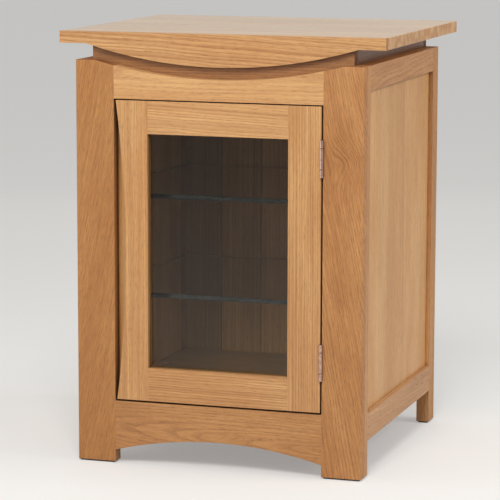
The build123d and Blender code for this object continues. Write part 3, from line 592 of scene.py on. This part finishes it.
def make_metal_wear():
    """Drawn lines and a mottled tone on metal"""
    tree, given, out = group(
        "metal_wear",
        [("Point", "Vector", None), ("Grain", "Vector", (400, 400, 4000)),
         ("Color", "Color", (1, 1, 1, 1)), ("Roughness", "Float", 0.35)],
        [("Color", "Color", None), ("Roughness", "Float", None), ("Height", "Float", None)],
    )
    point = given.outputs["Point"]
    color = given.outputs["Color"]
    lines = noise(tree, vector(tree, "MULTIPLY", point, given.outputs["Grain"]), 1.0, 3.0)
    mottle = rise(tree, noise(tree, point, 160.0, 3.0), 0.35, 0.75)
    tarnished = mix(tree, mottle, color, TARNISH, "MULTIPLY")
    feed(tree, out.inputs["Color"], mix(tree, 0.45, color, tarnished))
    rough = plus(tree, given.outputs["Roughness"], times(tree, lines, 0.14))
    feed(tree, out.inputs["Roughness"], rough)
    feed(tree, out.inputs["Height"], lines)


def make_moulded_skin():
    """Fine pitted skin of moulded plastic or rubber"""
    tree, given, out = group(
        "moulded_skin",
        [("Point", "Vector", None), ("Color", "Color", (1, 1, 1, 1)), ("Roughness", "Float", 0.6)],
        [("Color", "Color", None), ("Roughness", "Float", None), ("Height", "Float", None)],
    )
    point = given.outputs["Point"]
    pits = noise(tree, point, 1800.0, 2.0)
    dust = rise(tree, noise(tree, point, 120.0, 3.0), 0.5, 0.8)
    feed(tree, out.inputs["Color"], mix(tree, times(tree, dust, 0.12), given.outputs["Color"], DUST))
    feed(tree, out.inputs["Roughness"], plus(tree, given.outputs["Roughness"], times(tree, pits, 0.15)))
    feed(tree, out.inputs["Height"], pits)


make_metal_wear()
make_moulded_skin()


def surfaced(name, skin, values, metallic):
    """A material whose colour, roughness and relief come from one of the two groups above"""
    material, tree, shader, _ = new_material(name)
    coords = add(tree, "TexCoord")
    surface = place_group(tree, skin, {"Point": coords.outputs["Object"], **values})
    feed(tree, shader.inputs["Base Color"], surface.outputs["Color"])
    feed(tree, shader.inputs["Roughness"], surface.outputs["Roughness"])
    relief = add(tree, "Bump", {
        "Height": surface.outputs["Height"], "Strength": 0.3, "Distance": 0.05 * MM,
    })
    feed(tree, shader.inputs["Normal"], relief.outputs[0])
    shader.inputs["Metallic"].default_value = metallic
    return material


def metal(name, color, roughness, grain=(400, 400, 4000)):
    """Worked metal; grain is how often its lines come in a metre along X, Y and Z"""
    return surfaced(name, "metal_wear", {"Color": color, "Roughness": roughness, "Grain": grain}, 1.0)


def moulded(name, color, roughness):
    """Moulded plastic or rubber"""
    return surfaced(name, "moulded_skin", {"Color": color, "Roughness": roughness}, 0.0)


def dress_fittings():
    """Hinges, catch, screws, pins and pads"""
    hinges = [f"{level}_hinge_{part}" for level in ("upper", "lower")
              for part in ("frame_leaf", "door_leaf", "pin")]
    finishes = (
        (metal("hinge_steel", rgb(198, 166, 152), 0.12), hinges),
        (metal("screw_steel", rgb(188, 182, 172), 0.28, grain=(900, 900, 900)),
         ["frame_hinge_screws", "door_hinge_screws", "strike_screw"]),
        (metal("zinc_plate", rgb(196, 196, 192), 0.36, grain=(300, 2500, 300)),
         ["riser_screws", "cleat_screws", "bracket_screws", "top_brackets", "bead_pins", "shelf_pins"]),
        (metal("nickel", rgb(168, 166, 162), 0.2), ["strike_plate", "catch_magnet"]),
        (moulded("brown_plastic", rgb(118, 84, 56), 0.5), ["catch_housing"]),
        (moulded("dark_pad", rgb(54, 44, 38), 0.6), ["foot_pads_front", "foot_pads_rear"]),
        (moulded("soft_sleeve", rgb(208, 212, 204), 0.42), ["shelf_pin_sleeves"]),
    )
    for material, node_names in finishes:
        for node_name in node_names:
            dress(node_name, material)


dress_fittings()


# Floor, light and camera

def make_floor():
    """Plain pale studio floor, a little brighter where it is seen than the lamps make it"""
    half = 60.0
    glow = 0.28
    mesh = bpy.data.meshes.new("floor")
    corners = [(-half, -half, 0), (half, -half, 0), (half, half, 0), (-half, half, 0)]
    mesh.from_pydata(corners, [], [(0, 1, 2, 3)])
    floor = bpy.data.objects.new("floor", mesh)
    bpy.context.collection.objects.link(floor)
    material, tree, shader, _ = new_material("studio_floor")
    shader.inputs["Base Color"].default_value = (0.6, 0.6, 0.59, 1)
    shader.inputs["Roughness"].default_value = 0.8
    shader.inputs["Emission Color"].default_value = (1.0, 0.995, 0.985, 1)
    path = add(tree, "LightPath")
    seen = maths(tree, "MAXIMUM", path.outputs["Is Camera Ray"], path.outputs["Is Transmission Ray"])
    seen = maths(tree, "MAXIMUM", seen, path.outputs["Is Glossy Ray"])
    feed(tree, shader.inputs["Emission Strength"], times(tree, seen, glow))
    mesh.materials.append(material)


def make_world():
    """Even pale surroundings"""
    world = bpy.data.worlds.new("studio")
    bpy.context.scene.world = world
    world.use_nodes = True
    tree = world.node_tree
    tree.nodes.clear()
    sky = add(tree, "Background", {"Color": (1.0, 0.985, 0.96, 1), "Strength": 0.42})
    add(tree, "OutputWorld", {"Surface": sky.outputs[0]})


def make_lamp(name, place, aim, size, watts, color):
    """Soft square lamp that points at a spot"""
    data = bpy.data.lights.new(name, "AREA")
    data.shape = "SQUARE"
    data.size = size
    data.energy = watts
    data.color = color
    lamp = bpy.data.objects.new(name, data)
    bpy.context.collection.objects.link(lamp)
    turn = (Vector(aim) - Vector(place)).to_track_quat("-Z", "Y").to_matrix().to_4x4()
    lamp.matrix_world = Matrix.Translation(place) @ turn


def make_lamps():
    """Key from the front, fill from the right, and two weak ones that shape the left and the back"""
    make_lamp("key", place=(0.5, -2.6, 2.9), aim=(0, 0, 0.5), size=1.2, watts=79,
              color=(1.0, 0.985, 0.955))
    make_lamp("fill", place=(3.1, 0.1, 2.3), aim=(0.2, 0, 0.4), size=1.6, watts=40,
              color=(1.0, 0.98, 0.96))
    make_lamp("side", place=(-1.82, -1.16, 0.6), aim=(0.19, -0.26, 0.45), size=1.6, watts=10,
              color=(1.0, 0.97, 0.93))
    make_lamp("rear", place=(-1.2, 3.2, 1.35), aim=(0, 0, 0.75), size=2.0, watts=1.6,
              color=(1.0, 0.96, 0.91))


def make_camera():
    """The photograph's viewpoint"""
    frame_px = 500
    focal_px = 2514.5
    sensor_mm = 36.0
    turn, drop, roll = 0.31135, 0.15173, 0.00233
    place = (1.3803, -4.3635, 1.0559)
    data = bpy.data.cameras.new("camera")
    data.sensor_width = sensor_mm
    data.lens = focal_px / frame_px * sensor_mm
    data.clip_end = 200.0
    camera = bpy.data.objects.new("camera", data)
    bpy.context.collection.objects.link(camera)
    look = Matrix.Rotation(turn, 4, "Z") @ Matrix.Rotation(math.pi / 2 - drop, 4, "X")
    look = look @ Matrix.Rotation(roll, 4, "Z")
    camera.matrix_world = Matrix.Translation(place) @ look
    bpy.context.scene.camera = camera


make_floor()
make_world()
make_lamps()
make_camera()
bpy.context.scene.view_settings.view_transform = "Standard"
